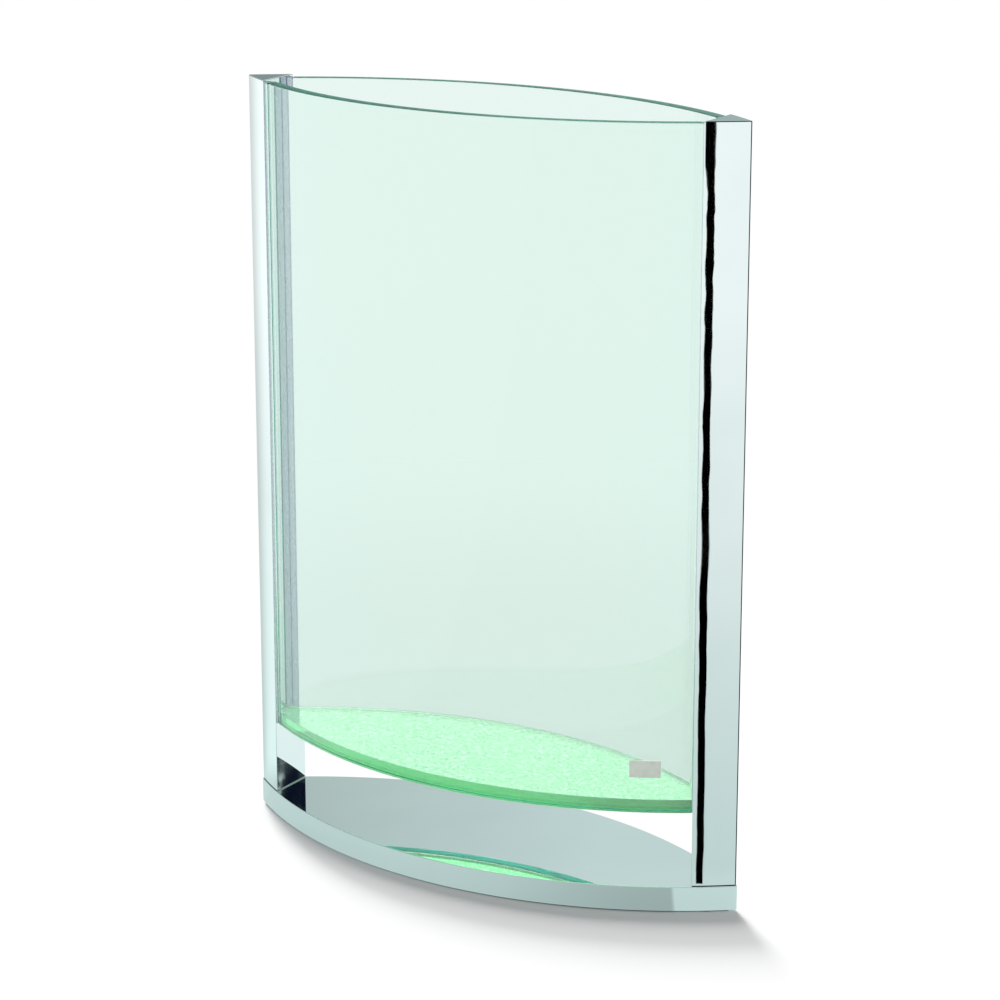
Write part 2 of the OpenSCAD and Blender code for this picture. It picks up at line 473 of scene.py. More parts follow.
paneLook = {
    "passes": (0.2, 0.90, 0.84),       # 1 lets a colour through whole, 0 takes the most of it
    "density": 16.0,                   # how much is taken per metre
    "tint": (0.985, 0.985, 0.955),
    "speckTint": None,
    "frosting": 0.0,
    "grainHeight": 0.0,
}
floorLook = {
    "passes": (0.0, 0.82, 0.45),
    "density": 22.0,
    "tint": (0.30, 0.78, 0.37),
    "speckTint": (0.84, 0.98, 0.90),
    "frosting": 0.30,                  # roughness of the underside
    "grainHeight": 0.03 * mm,
}
glassFinish = {
    "ior": 1.52,
    "smearScale": 9,
    "smears": (0.62, 0.85),
    "smearRoughness": 0.02,
    "arrisSlope": (0.35, 0.95),
    "groundRoughness": 0.15,           # of the arrises
    "bendScale": 16,
    "bendHeight": 0.012 * mm,
    "grainScale": 1400,
    "speckScale": 520,
}


def clearGlass(name, look):
    material, tree, shader, output, place = newMaterial(name)
    smears = noise(tree, place, glassFinish["smearScale"], 4, distortion=1.2)
    smeared = spread(tree, smears, *glassFinish["smears"], 0.0, glassFinish["smearRoughness"])
    facing = upwards(tree)
    arris = within(tree, maths(tree, "ABSOLUTE", facing), *glassFinish["arrisSlope"])
    rough = maths(tree, "MULTIPLY_ADD", arris, glassFinish["groundRoughness"], smeared)
    underside = maths(tree, "LESS_THAN", facing, -glassFinish["arrisSlope"][1])
    grains = noise(tree, place, glassFinish["grainScale"], 2)
    frosting = spread(tree, grains, 0.3, 0.7, look["frosting"] * 0.7, look["frosting"] * 1.3)
    rough = maths(tree, "MULTIPLY_ADD", underside, frosting, rough)
    waves = noise(tree, place, glassFinish["bendScale"], 1, (1, 1, 0.5))
    normal = bump(tree, waves, glassFinish["bendHeight"])
    if look["grainHeight"]:
        normal = bump(tree, product(tree, underside, grains), look["grainHeight"], normal)
    tint = asColour(look["tint"])
    if look["speckTint"]:
        specks = noise(tree, place, glassFinish["speckScale"], 1)
        tint = ramp(tree, specks, [(0.56, look["tint"]), (0.64, look["speckTint"])])
    feed(tree, shader, {
        "Base Color": tint, "Roughness": rough, "Transmission Weight": 1.0,
        "IOR": glassFinish["ior"], "Normal": normal,
    })
    inside = addNode(tree, "ShaderNodeVolumeAbsorption", {
        "Color": asColour(look["passes"]), "Density": look["density"]})
    tree.links.new(inside.outputs[0], output.inputs["Volume"])
    return material


cornerSealant = {
    "palest": (0.90, 0.95, 1.0), "dullest": (0.70, 0.76, 0.90),
    "clearness": 0.35, "roughness": (0.2, 0.4), "ior": 1.41, "skinHeight": 0.02 * mm,
}
floorSealant = {
    "palest": (0.75, 0.95, 0.83), "dullest": (0.62, 0.90, 0.72),
    "clearness": 0.9, "roughness": (0.05, 0.15), "ior": 1.41, "skinHeight": 0.01 * mm,
}


sealantScale = {"skin": 420, "drawn": 1300}   # the drawn streaks are left by the smoothing tool


def clearSilicone(name, look):
    material, tree, shader, output, place = newMaterial(name)
    skin = noise(tree, place, sealantScale["skin"], 3, (1, 1, 0.2))
    drawn = noise(tree, place, sealantScale["drawn"], 3, (1, 1, 0.004))
    feed(tree, shader, {
        "Base Color": ramp(tree, drawn, [(0.35, look["dullest"]), (0.65, look["palest"])]),
        "Roughness": spread(tree, skin, 0.3, 0.7, *look["roughness"]),
        "Transmission Weight": look["clearness"], "IOR": look["ior"],
        "Normal": bump(tree, skin, look["skinHeight"]),
    })
    return material


satin = {
    "tint": (0.86, 0.81, 0.75),
    "shadeTint": (0.76, 0.71, 0.655),
    "roughness": (0.28, 0.42),
    "lineScale": 2600,
    "lineHeight": 0.003 * mm,
    "cloudScale": 260,
}


def satinPlate():
    material, tree, shader, output, place = newMaterial("satin plate")
    lines = noise(tree, place, satin["lineScale"], 3, (0.03, 0.03, 1))
    clouds = noise(tree, place, satin["cloudScale"], 3)
    feed(tree, shader, {
        "Base Color": ramp(tree, clouds, [(0.3, satin["shadeTint"]), (0.7, satin["tint"])]),
        "Metallic": 0.85,
        "Roughness": spread(tree, lines, 0.3, 0.7, *satin["roughness"]),
        "Normal": bump(tree, lines, satin["lineHeight"]),
    })
    return material


foam = {"dark": (0.50, 0.50, 0.48), "light": (0.66, 0.66, 0.64), "cellScale": 5200, "cellDepth": 0.03 * mm}


def foamTape():
    material, tree, shader, output, place = newMaterial("foam tape")
    names = {"Vector": place, "Scale": foam["cellScale"]}
    cells = addNode(tree, "ShaderNodeTexVoronoi", names).outputs["Distance"]
    feed(tree, shader, {
        "Base Color": ramp(tree, cells, [(0.0, foam["dark"]), (0.6, foam["light"])]),
        "Roughness": 0.8,
        "Normal": bump(tree, cells, foam["cellDepth"]),
    })
    return material


steelLook = {
    "dark": (0.42, 0.43, 0.45), "light": (0.58, 0.59, 0.61), "roughness": (0.22, 0.42),
    "stainScale": 380, "turnedScale": 3200, "turnedHeight": 0.004 * mm,
}


def screwSteel():
    material, tree, shader, output, place = newMaterial("screw steel")
    stains = noise(tree, place, steelLook["stainScale"], 4)
    turned = noise(tree, place, steelLook["turnedScale"], 2, (1, 1, 0.2))
    feed(tree, shader, {
        "Base Color": ramp(tree, stains, [(0.35, steelLook["dark"]), (0.65, steelLook["light"])]),
        "Metallic": 1.0,
        "Roughness": spread(tree, stains, 0.3, 0.7, *steelLook["roughness"]),
        "Normal": bump(tree, turned, steelLook["turnedHeight"]),
    })
    return material


feltLook = {
    "light": (0.60, 0.48, 0.35), "dark": (0.38, 0.29, 0.20),
    "fibreScale": 1500, "fibreHeight": 0.15 * mm,
}


def shortFelt():
    material, tree, shader, output, place = newMaterial("short felt")
    fibres = noise(tree, place, feltLook["fibreScale"], 4, (1, 0.25, 1), 2.0)
    crossFibres = noise(tree, place, feltLook["fibreScale"], 4, (0.25, 1, 1), 2.0)
    mat = maths(tree, "MAXIMUM", fibres, crossFibres)
    feed(tree, shader, {
        "Base Color": ramp(tree, mat, [(0.4, feltLook["dark"]), (0.7, feltLook["light"])]),
        "Roughness": 0.95, "Sheen Weight": 0.35, "Sheen Roughness": 0.5,
        "Normal": bump(tree, mat, feltLook["fibreHeight"]),
    })
    return material


print("materials")
plateMetal = polishedMetal("polished plate", (0.02, 1, 1))
postMetal = polishedMetal("polished post", (1, 1, 0.02), paintedShadeShares)
paneGlass = clearGlass("pane glass", paneLook)
floorGlass = clearGlass("floor glass", floorLook)
cornerSilicone = clearSilicone("corner silicone", cornerSealant)
floorSilicone = clearSilicone("floor silicone", floorSealant)
satinMetal = satinPlate()
tapeFoam = foamTape()
steel = screwSteel()
felt = shortFelt()


# Base plate and felt

basePlate = {"edge": 0.38 * mm, "sinkDiameter": 8.1 * mm, "holeDiameter": 4.5 * mm, "recess": 0.3 * mm}
screwPlaces = {
    "setback": 4.2 * mm,   # from a post's inner face
    "spacing": 9.0 * mm,
    "threadHole": 4.1 * mm,
    "threadDepth": 15.3 * mm,
}


def lensPiece(name, node, radius, endCentre, endRadius, material, endHalf=None):
    # without endHalf the end arc runs on smoothly from the long arcs
    if endHalf is None:
        arcTurn = math.asin(endCentre / (radius - endRadius))
        endTurn = quarterTurn - arcTurn
        steps = lens["tipSteps"]
    else:
        arcTurn = math.asin((endCentre + math.sqrt(endRadius ** 2 - endHalf ** 2)) / radius)
        endTurn = math.asin(endHalf / endRadius)
        steps = lens["flatSteps"]
    return grow(name, lensSlab, {
        "Arc Radius": radius, "Arc Centre": arcCentre, "Arc Turn": arcTurn,
        "End Centre": endCentre, "End Radius": endRadius, "End Turn": endTurn,
        "Arc Steps": lens["steps"] + 1, "End Steps": steps,
        "Material": material, **levels(node),
    })


def screwCorners(side):
    x = side * (innerFaceX + screwPlaces["setback"])
    return [(x, row * screwPlaces["spacing"] / 2) for row in (-1, 1)]


def drill(piece, places, cuts):
    # each cut is (radius below, radius above, from level, to level)
    shape = bmesh.new()
    for x, y in places:
        for below, above, low, high in cuts:
            bmesh.ops.create_cone(
                shape, cap_ends=True, segments=meshing["holeSteps"], radius1=below, radius2=above,
                depth=high - low, matrix=Matrix.Translation((x, y, (low + high) / 2)))
    cutter = fromShape("cutter", shape)
    cut = piece.modifiers.new("holes", "BOOLEAN")
    cut.operation = "DIFFERENCE"
    cut.solver = "EXACT"
    cut.use_self = True
    cut.object = cutter
    settle(piece)
    faceOutwards(piece)
    bpy.data.objects.remove(cutter)


plateBottom, plateTop = lows("base_plate")[2], highs("base_plate")[2]
plate = lensPiece("basePlate", "base_plate", arcRadius, tipX, lens["tipRadius"], plateMetal)
easeEdges(plate, basePlate["edge"])
sinkRadius = basePlate["sinkDiameter"] / 2
sinkLevel = plateBottom + basePlate["recess"]
holeRadius = basePlate["holeDiameter"] / 2
drill(plate, screwCorners(-1) + screwCorners(1), [
    (holeRadius, holeRadius, plateBottom - meshing["past"], plateTop + meshing["past"]),
    (sinkRadius, sinkRadius, plateBottom - meshing["past"], sinkLevel),
    (sinkRadius, 0.0, sinkLevel, sinkLevel + sinkRadius),
])
keepFlatsFlat(plate)
standFor(plate, "base_plate")

feltCut = {"tipSetback": 2.4 * mm, "tipRadius": 0.4 * mm}
feltRadius = arcRadius - (halfWidth - highs("base_felt")[1])
feltPad = lensPiece("baseFelt", "base_felt", feltRadius, tipX - feltCut["tipSetback"],
                    feltCut["tipRadius"], felt)
keepFlatsFlat(feltPad)
standFor(feltPad, "base_felt")


# Posts

post = {"edge": 0.38 * mm, "steps": 28}


def makePost(name, node, side):
    tipInset = halfLength - highs("right_post")[0]
    tipRadius = lens["tipRadius"] - tipInset
    piece = grow(name, wedgePost, {
        "Arc Radius": postRadius, "Arc Centre": arcCentre,
        "From Turn": math.asin(innerFaceX / postRadius),
        "To Turn": math.asin(tipX / (postRadius - tipRadius)),
        "Tip Centre": tipX, "Tip Radius": tipRadius,
        "Arc Steps": post["steps"], "Tip Steps": lens["tipSteps"],
        "Material": postMetal, **levels(node),
    })
    if side < 0:
        piece.data.transform(Matrix.Scale(-1, 4, Vector((1, 0, 0))))
        faceOutwards(piece)
    easeEdges(piece, post["edge"])
    bore = screwPlaces["threadHole"] / 2
    bottom = lows(node)[2]
    drill(piece, screwCorners(side), [
        (bore, bore, bottom - meshing["past"], bottom + screwPlaces["threadDepth"])])
    keepFlatsFlat(piece)
    standFor(piece, node)


makePost("leftPost", "left_post", -1)
makePost("rightPost", "right_post", 1)


# Panes and glass floor

pane = {"arris": 0.45 * mm, "steps": 257}
glassFloor = {"arris": 0.2 * mm, "endRadius": 900 * mm}


def makePane(name, node, side):
    piece = grow(name, bentSheet, {
        "Outer Radius": paneRadius, "Thickness": paneThickness, "Arc Centre": arcCentre, "Side": side,
        "Middle Turn": 0.0, "Half Turn": math.asin(paneEndX / paneRadius), "Steps": pane["steps"],
        "Material": paneGlass, **levels(node),
    })
    easeEdges(piece, pane["arris"], 1)
    finishClear(piece, node)


makePane("frontPane", "front_pane", 1.0)
makePane("backPane", "back_pane", -1.0)

floorRadius = highs("glass_floor")[1] + arcCentre
floorEndX = highs("glass_floor")[0]
floorEndHalf = halfChord(floorRadius, floorEndX)
floorEndCentre = floorEndX - math.sqrt(glassFloor["endRadius"] ** 2 - floorEndHalf ** 2)
floorPiece = lensPiece("glassFloor", "glass_floor", floorRadius, floorEndCentre,
                       glassFloor["endRadius"], floorGlass, floorEndHalf)
easeEdges(floorPiece, glassFloor["arris"], 1)
finishClear(floorPiece, "glass_floor")


# Silicone joints

seal = {
    "skin": 0.04 * mm,        # thin gap that keeps two clear faces from lying in each other
    "outerSink": 0.15 * mm,   # how far the bead sinks between its two edges
    "innerSink": 0.7 * mm,
    "beadSteps": 6,
    "ringSteps": 120,
    "ringEdge": 0.1 * mm,
}


def prism(name, outline, bottom, top, material):
    shape = bmesh.new()
    low = [shape.verts.new((x, y, bottom)) for x, y in outline]
    high = [shape.verts.new((x, y, top)) for x, y in outline]
    count = len(outline)
    for i in range(count):
        j = (i + 1) % count
        shape.faces.new((low[i], low[j], high[j], high[i]))
    shape.faces.new(low[::-1])
    shape.faces.new(high)
    piece = fromShape(name, shape, material)
    faceOutwards(piece)
    return piece


def sunkLine(start, end, sink, towards):
    # a shallow hollow from start to end, drawn in along the direction towards
    count = seal["beadSteps"]
    points = []
    for i in range(count + 1):
        share = i / count
        hollow = sink * math.sin(math.pi * share)
        points.append((
            start[0] + (end[0] - start[0]) * share + towards[0] * hollow,
            start[1] + (end[1] - start[1]) * share + towards[1] * hollow))
    return points


def makeCornerSeal(name, node, sideX, sideY):
    paneTurn = math.asin(paneEndX / paneRadius)
    skin = seal["skin"]
    outerPane = (paneEndX + skin, halfChord(paneRadius, paneEndX) - skin)
    innerPane = (paneInnerRadius * math.sin(paneTurn) + skin,
                 paneInnerRadius * math.cos(paneTurn) - arcCentre + skin)
    outerPost = (innerFaceX, outerPane[1])
    innerPost = (innerFaceX, innerPane[1])
    outline = sunkLine(outerPane, outerPost, seal["outerSink"], (0, -1))
    outline += sunkLine(innerPost, innerPane, seal["innerSink"], (0, 1))
    outline = [(sideX * x, sideY * y) for x, y in outline]
    piece = prism(name, outline, lows(node)[2], highs(node)[2], cornerSilicone)
    finishClear(piece, node)


for face, sideY in (("front", -1), ("back", 1)):
    for end, sideX in (("Left", -1), ("Right", 1)):
        makeCornerSeal(face + end + "Seal", face + "_" + end.lower() + "_seal", sideX, sideY)


def makeFloorSeal(name, node):
    skin = seal["skin"]
    endY = lows("back_left_seal")[1] - skin
    outerEnd = innerFaceX - skin
    innerEnd = floorEndX + skin
    count = seal["ringSteps"]
    outer = []
    inner = []
    for i in range(count + 1):
        share = -1 + 2 * i / count
        outer.append((outerEnd * share, max(halfChord(paneInnerRadius - skin, outerEnd * share), endY)))
        inner.append((innerEnd * share, halfChord(floorRadius + skin, innerEnd * share)))
    bottom = lows(node)[2]
    top = highs(node)[2]
    loops = []
    shape = bmesh.new()
    for line in (outer, inner):
        ring = line + [(-x, -y) for x, y in line]
        loops.append([[shape.verts.new((x, y, z)) for x, y in ring] for z in (bottom, top)])
    around = len(loops[0][0])
    sides = [loops[0][0], loops[0][1], loops[1][1], loops[1][0]]
    for k in range(4):
        first, second = sides[k], sides[(k + 1) % 4]
        for i in range(around):
            j = (i + 1) % around
            shape.faces.new((first[i], first[j], second[j], second[i]))
    piece = fromShape(name, shape, floorSilicone)
    faceOutwards(piece)
    easeEdges(piece, seal["ringEdge"], 2)
    finishClear(piece, node)


makeFloorSeal("floorSeal", "floor_seal")


# Name plate, bare, and the tape behind it

namePlate = {
    "width": 14.5 * mm, "thickness": 0.5 * mm, "edge": 0.12 * mm, "steps": 9,
    "tape": 0.2 * mm, "tapeInset": 0.6 * mm, "tapeEdge": 0.03 * mm,
    "tapeGap": 0.01 * mm,     # thin gap that keeps the tape's two faces clear of plate and pane
}


def bentPatch(name, node, outerRadius, thickness, width, material, edge):
    low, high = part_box("name_plate")
    middle = math.atan2((low[0] + high[0]) / 2, arcCentre - (low[1] + high[1]) / 2)
    piece = grow(name, bentSheet, {
        "Outer Radius": outerRadius, "Thickness": thickness, "Arc Centre": arcCentre, "Side": 1.0,
        "Middle Turn": middle, "Half Turn": width / 2 / paneRadius, "Steps": namePlate["steps"],
        "Material": material, **levels(node),
    })
    easeEdges(piece, edge, 2)
    keepFlatsFlat(piece)
    standFor(piece, node)


plateFace = paneRadius + namePlate["tape"] + namePlate["thickness"]
bentPatch("namePlate", "name_plate", plateFace, namePlate["thickness"], namePlate["width"],
          satinMetal, namePlate["edge"])
bentPatch("namePlateTape", "name_plate_tape", paneRadius + namePlate["tape"] - namePlate["tapeGap"],
          namePlate["tape"] - 3 * namePlate["tapeGap"], namePlate["width"] - 2 * namePlate["tapeInset"],
          tapeFoam, namePlate["tapeEdge"])


# Screws

screw = {
    "diameter": 4.0 * mm, "headDiameter": 8.0 * mm, "length": 25.0 * mm,
    "pitch": 0.7 * mm, "threadDepth": 0.4 * mm, "plainLength": 9.0 * mm,
    "socketWidth": 2.5 * mm, "socketDepth": 1.8 * mm, "around": 28, "rings": 180,
    "headSteps": 48,
    "neck": 0.9,              # the head's cone ends inside the shank, at this share of its radius
}


def screwTree():
    # a countersunk socket screw on each point of the line between the two places
    tree, given = newTree("socket screws", {
        "Diameter": "Float", "Head Diameter": "Float", "Length": "Float", "Plain Length": "Float",
        "Pitch": "Float", "Thread Depth": "Float", "Socket Radius": "Float", "Socket Depth": "Float",
        "Around": "Int", "Rings": "Int", "First Place": "Vector", "Spacing": "Vector",
        "Material": "Material",
    })
    radius = product(tree, given["Diameter"], 0.5)
    cylinder = addNode(tree, "GeometryNodeMeshCylinder", {
        "Vertices": given["Around"], "Side Segments": given["Rings"], "Radius": radius,
        "Depth": given["Length"]}).outputs[0]
    shank = moved(tree, cylinder, vector(tree, z=product(tree, given["Length"], 0.5)))
    place = axes(tree, tree.nodes.new("GeometryNodeInputPosition").outputs[0])
    turn = maths(tree, "DIVIDE", maths(tree, "ARCTAN2", place["Y"], place["X"]), 2 * math.pi)
    climb = maths(tree, "DIVIDE", place["Z"], given["Pitch"])
    tooth = maths(tree, "PINGPONG", maths(tree, "SUBTRACT", climb, turn), 0.5)
    threaded = maths(tree, "GREATER_THAN", place["Z"], given["Plain Length"])
    groove = product(tree, tooth, 2.0, given["Thread Depth"], threaded)
    keep = maths(tree, "SUBTRACT", 1.0, maths(tree, "DIVIDE", groove, radius))
    cut = vector(tree, product(tree, place["X"], keep), product(tree, place["Y"], keep), place["Z"])
    thread = addNode(tree, "GeometryNodeSetPosition", {"Geometry": shank, "Position": cut}).outputs[0]
    headRadius = product(tree, given["Head Diameter"], 0.5)
    neckRadius = product(tree, radius, screw["neck"])
    head = addNode(tree, "GeometryNodeMeshCone", {
        "Vertices": screw["headSteps"], "Radius Top": neckRadius, "Radius Bottom": headRadius,
        "Depth": maths(tree, "SUBTRACT", headRadius, neckRadius)}).outputs[0]
    socket = addNode(tree, "GeometryNodeMeshCylinder", {
        "Vertices": 6, "Radius": given["Socket Radius"],
        "Depth": product(tree, given["Socket Depth"], 2.0)}).outputs[0]
    whole = addNode(tree, "GeometryNodeMeshBoolean", operation="UNION", solver="EXACT")
    tree.links.new(thread, whole.inputs["Mesh 2"])
    tree.links.new(head, whole.inputs["Mesh 2"])
    cutOut = addNode(tree, "GeometryNodeMeshBoolean", {"Mesh 1": whole.outputs[0]},
                     operation="DIFFERENCE", solver="EXACT")
    tree.links.new(socket, cutOut.inputs["Mesh 2"])
    row = addNode(tree, "GeometryNodeMeshLine", {
        "Count": 2, "Start Location": given["First Place"], "Offset": given["Spacing"]}, mode="OFFSET")
    copies = addNode(tree, "GeometryNodeInstanceOnPoints", {
        "Points": row.outputs[0], "Instance": cutOut.outputs[0]})
    finishTree(tree, copies.outputs[0], given["Material"])
    return tree


socketScrews = screwTree()


def makeScrews(name, node, side):
    places = screwCorners(side)
    piece = grow(name, socketScrews, {
        "Diameter": screw["diameter"], "Head Diameter": screw["headDiameter"],
        "Length": screw["length"], "Plain Length": screw["plainLength"],
        "Pitch": screw["pitch"], "Thread Depth": screw["threadDepth"],
        "Socket Radius": screw["socketWidth"] / math.sqrt(3), "Socket Depth": screw["socketDepth"],
        "Around": screw["around"], "Rings": screw["rings"],
        "First Place": (places[0][0], places[0][1], lows(node)[2]),
        "Spacing": (0, screwPlaces["spacing"], 0), "Material": steel,
    })
    for face in piece.data.polygons:
        face.use_smooth = False
    standFor(piece, node)


makeScrews("leftPostScrews", "left_post_screws", -1)
makeScrews("rightPostScrews", "right_post_screws", 1)


# Table

table = {
    "radius": 12.0,
    "steps": 96,
    "white": 0.75,
    "openLight": 1.39,                    # how strongly it is lit away from the object
    "throughLevel": 0.94,                 # how bright it is through glass
    "litWithin": (0.35, 0.75),            # the lit table fades to plain white over this distance
    "seenThrough": (0.90, 0.95, 0.945),   # and it is a little duller through glass
    # what polished faces see of it, from close by to far off
    "tintReach": (0.1, 1.9),
    "tints": ((0.0, (0.56, 0.705, 0.69)), (0.28, (0.80, 0.90, 0.89)), (0.75, (0.97, 1.04, 1.04))),
    "behindTint": (0.86, 0.99, 0.98),     # close behind the object, on the left
    "behindX": (-0.13, 0.0),
    "behindY": (0.01, 0.16),
    # shades along the front of the base: degrees from its middle, brightness
    "frontShades": ((-28, 1.04), (-7.5, 1.025), (7.5, 0.93), (15.5, 0.83),
                    (25.8, 0.70), (30.5, 0.68), (31, 1.08)),
    "mirroredGlow": 0.92,                 # polished faces see its shadows this much paler
    "frontReach": (0.03, 0.06),           # how far in front of the base those shades go
    "slitApex": (0.0662, 0.0564),         # a dark slit in the studio, on the right of the front
    "slitTurn": math.radians(39.65),
    "slitHalf": math.radians(1.0),
    "slitStart": 0.1205,                  # from its apex, so that only the post mirrors it
    "slitWideFrom": (2.0, 2.25),          # the top of the post mirrors a wider part of it
    "slitWider": math.radians(0.6),
    "slitRagged": math.radians(0.6),
    "slitRaggedScale": 9,
    "sideApex": (0.134, 0.0),             # a dark side wall on the right of the back
    "sideTurns": (math.radians(86), math.radians(106)),
    "sideStart": 0.036,
    "sideColour": (0.03, 0.045, 0.10),
    "leftApex": (-0.13, 0.0),             # the left side grows paler from front to back
    "leftShades": ((-111, 0.76), (-107, 0.97), (-104.5, 1.07), (-101, 1.13)),
    "leftNear": (0.2, 0.7),               # close by it is paler still, by the next value
    "leftNearPaler": 1.22,
    "leftStart": (-0.16, -0.2),
}


def polar(tree, x, y, apex):
    # the turn from straight ahead of the object, and the distance, both round one point
    across = maths(tree, "SUBTRACT", x, apex[0])
    forward = maths(tree, "SUBTRACT", apex[1], y)
    squares = maths(tree, "ADD", product(tree, across, across), product(tree, forward, forward))
    return maths(tree, "ARCTAN2", across, forward), maths(tree, "SQRT", squares)


def shaded(tree, turn, shades):
    # a brightness that follows the turn, given in degrees
    low, high = shades[0][0], shades[-1][0]
    share = spread(tree, turn, math.radians(low), math.radians(high), 0.0, 1.0)
    return ramp(tree, share, [((at - low) / (high - low), (value,) * 3) for at, value in shades])


def mirroredTable(tree, place, x, y, distance):
    # what polished faces see of the table: a pale studio with two dark places
    colour = ramp(tree, spread(tree, distance, *table["tintReach"], 0.0, 1.0), table["tints"])
    leftShade = shaded(tree, polar(tree, x, y, table["leftApex"])[0], table["leftShades"])
    nearPaler = spread(tree, distance, *table["leftNear"], table["leftNearPaler"], 1.0)
    onLeft = spread(tree, x, *table["leftStart"], 0.0, 1.0)
    colour = blended(tree, onLeft, colour, scaled(tree, leftShade, nearPaler), "MULTIPLY")
    # the front shades and the slit are repeated behind the object, turned half round
    flip = product(tree, maths(tree, "SIGN", y), -1.0)
    flippedX, flippedY = product(tree, x, flip), product(tree, y, flip)
    frontTurn, frontDistance = polar(tree, flippedX, flippedY, (0.0, arcCentre))
    shade = shaded(tree, frontTurn, table["frontShades"])
    nearFront = spread(tree, frontDistance, arcRadius + table["frontReach"][0],
                       arcRadius + table["frontReach"][1], 1.0, 0.0, True)
    colour = blended(tree, nearFront, colour, blended(tree, 1.0, colour, shade, "MULTIPLY"))
    behind = product(tree, between(tree, y, *table["behindY"]), between(tree, x, *table["behindX"]))
    colour = blended(tree, behind, colour, table["behindTint"])
    slitAngle, slitDistance = polar(tree, flippedX, flippedY, table["slitApex"])
    ragged = maths(tree, "MULTIPLY_ADD", noise(tree, place, table["slitRaggedScale"], 4),
                   2 * table["slitRagged"], -table["slitRagged"])
    wider = spread(tree, slitDistance, *table["slitWideFrom"], 0.0, table["slitWider"], True)
    middle = maths(tree, "SUBTRACT", slitAngle, maths(tree, "SUBTRACT", table["slitTurn"], wider))
    off = maths(tree, "ABSOLUTE", maths(tree, "ADD", middle, ragged))
    half = maths(tree, "ADD", wider, table["slitHalf"])
    inSlit = product(tree, maths(tree, "LESS_THAN", off, half),
                   maths(tree, "GREATER_THAN", slitDistance, table["slitStart"]))
    colour = blended(tree, inSlit, colour, (0.0, 0.0, 0.0))
    sideAngle, sideDistance = polar(tree, x, y, table["sideApex"])
    inSide = product(tree, between(tree, sideAngle, *table["sideTurns"], math.radians(3)),
                   maths(tree, "GREATER_THAN", sideDistance, table["sideStart"]))
    return blended(tree, inSide, colour, table["sideColour"])


def tableMaterial():
    material = bpy.data.materials.new("table")
    material.use_nodes = True
    tree = material.node_tree
    tree.nodes.clear()
    place = tree.nodes.new("ShaderNodeTexCoord").outputs["Object"]
    x, y = axes(tree, place)[:2]
    distance = polar(tree, x, y, (0.0, 0.0))[1]
    path = tree.nodes.new("ShaderNodeLightPath").outputs
    # a ray through glass is glossy too
    mirrored = maths(tree, "GREATER_THAN", path["Is Glossy Ray"], path["Is Transmission Ray"])
    seen = maths(tree, "MAXIMUM", path["Is Camera Ray"], path["Is Glossy Ray"])
    studioLook = mirroredTable(tree, place, x, y, distance)
    white = blended(tree, path["Is Transmission Ray"], (1.0, 1.0, 1.0), table["seenThrough"])
    colour = blended(tree, mirrored, white, studioLook)
    direct = spread(tree, path["Is Glossy Ray"], 0.0, 1.0,
                    table["white"], table["throughLevel"] / table["openLight"])
    lit = addNode(tree, "ShaderNodeBsdfDiffuse", {"Color": scaled(tree, colour, direct)})
    glow = addNode(tree, "ShaderNodeEmission", {"Color": colour, "Strength": 1.0})
    share = product(tree, spread(tree, distance, *table["litWithin"], 0.0, 1.0, True), seen)
    share = maths(tree, "MAXIMUM", share, product(tree, mirrored, table["mirroredGlow"]))
    mixed = addNode(tree, "ShaderNodeMixShader", {0: share, 1: lit.outputs[0], 2: glow.outputs[0]})
    output = tree.nodes.new("ShaderNodeOutputMaterial")
    tree.links.new(mixed.outputs[0], output.inputs["Surface"])
    return material


def makeTable():
    shape = bmesh.new()
    bmesh.ops.create_circle(shape, cap_ends=True, segments=table["steps"], radius=table["radius"])
    top = fromShape("table", shape, tableMaterial())
    return top


tableTop = makeTable()
print("table")


# Light and world

shadowLamps = {
    "from": Vector((-0.74, 0.67)),     # in plan: behind the object, to the left
    "low": (12.5, 14, 0.50),           # degrees up, degrees wide, light on the table
    "high": (34, 34, 0.39),
}


def makeLamp(name, rise, width, share):
    # lights only the table, and only the base stands in its way: the clear vessel leaves no shadow
    data = bpy.data.lights.new(name, "SUN")
    data.angle = math.radians(width)
    data.energy = math.pi * share / math.sin(math.radians(rise))
    lamp = newObject(name, data)
    plan = shadowLamps["from"].normalized() * math.cos(math.radians(rise))
    towards = Vector((plan.x, plan.y, math.sin(math.radians(rise))))
    lamp.rotation_euler = towards.to_track_quat("Z", "Y").to_euler()
    lit = bpy.data.collections.new(name + " lights")
    lit.objects.link(tableTop)
    blockers = bpy.data.collections.new(name + " is blocked by")
    blockers.objects.link(plate)
    blockers.objects.link(feltPad)
    lamp.light_linking.receiver_collection = lit
    lamp.light_linking.blocker_collection = blockers


makeLamp("low lamp", *shadowLamps["low"])
makeLamp("high lamp", *shadowLamps["high"])

